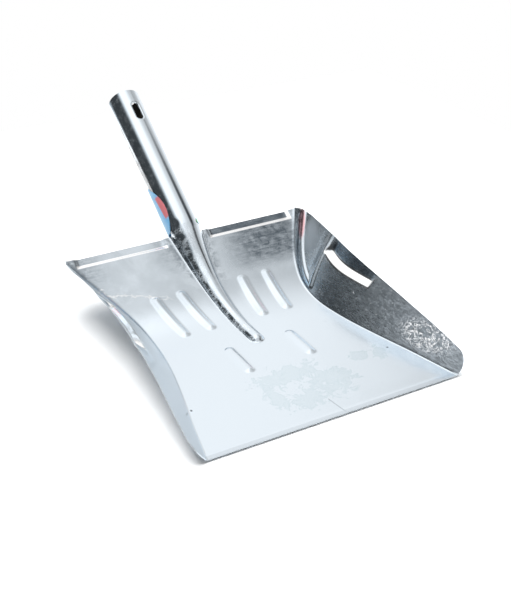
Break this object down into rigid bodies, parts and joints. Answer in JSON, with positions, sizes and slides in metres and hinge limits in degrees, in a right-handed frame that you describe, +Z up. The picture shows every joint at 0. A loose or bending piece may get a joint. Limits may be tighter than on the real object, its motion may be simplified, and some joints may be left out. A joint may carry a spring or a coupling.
{
  "type": "feed scoop",
  "caption": "Pressed galvanised steel hand scoop with a flat dustpan mouth, flared side walls, raised ribs and a hollow rolled handle with a hanging slot.",
  "frame": {"origin": "on the surface the scoop rests on, under the centre of its overall box", "axes": "+Z up, the mouth of the pan towards -Y, the handle rising towards +Y, +X to the right seen from the mouth side looking along +Y"},
  "size_m": [0.2526, 0.4161, 0.1505],
  "materials": {
    "galvanised_steel": "bright hot-dip galvanised, lightly brushed and scuffed",
    "label_film": "thin glossy printed film, plain colour areas with no text"
  },
  "bodies": {
    "root": {"pan": "galvanised_steel", "handle": "galvanised_steel", "handle_label": "label_film"}
  },
  "joints": []
}
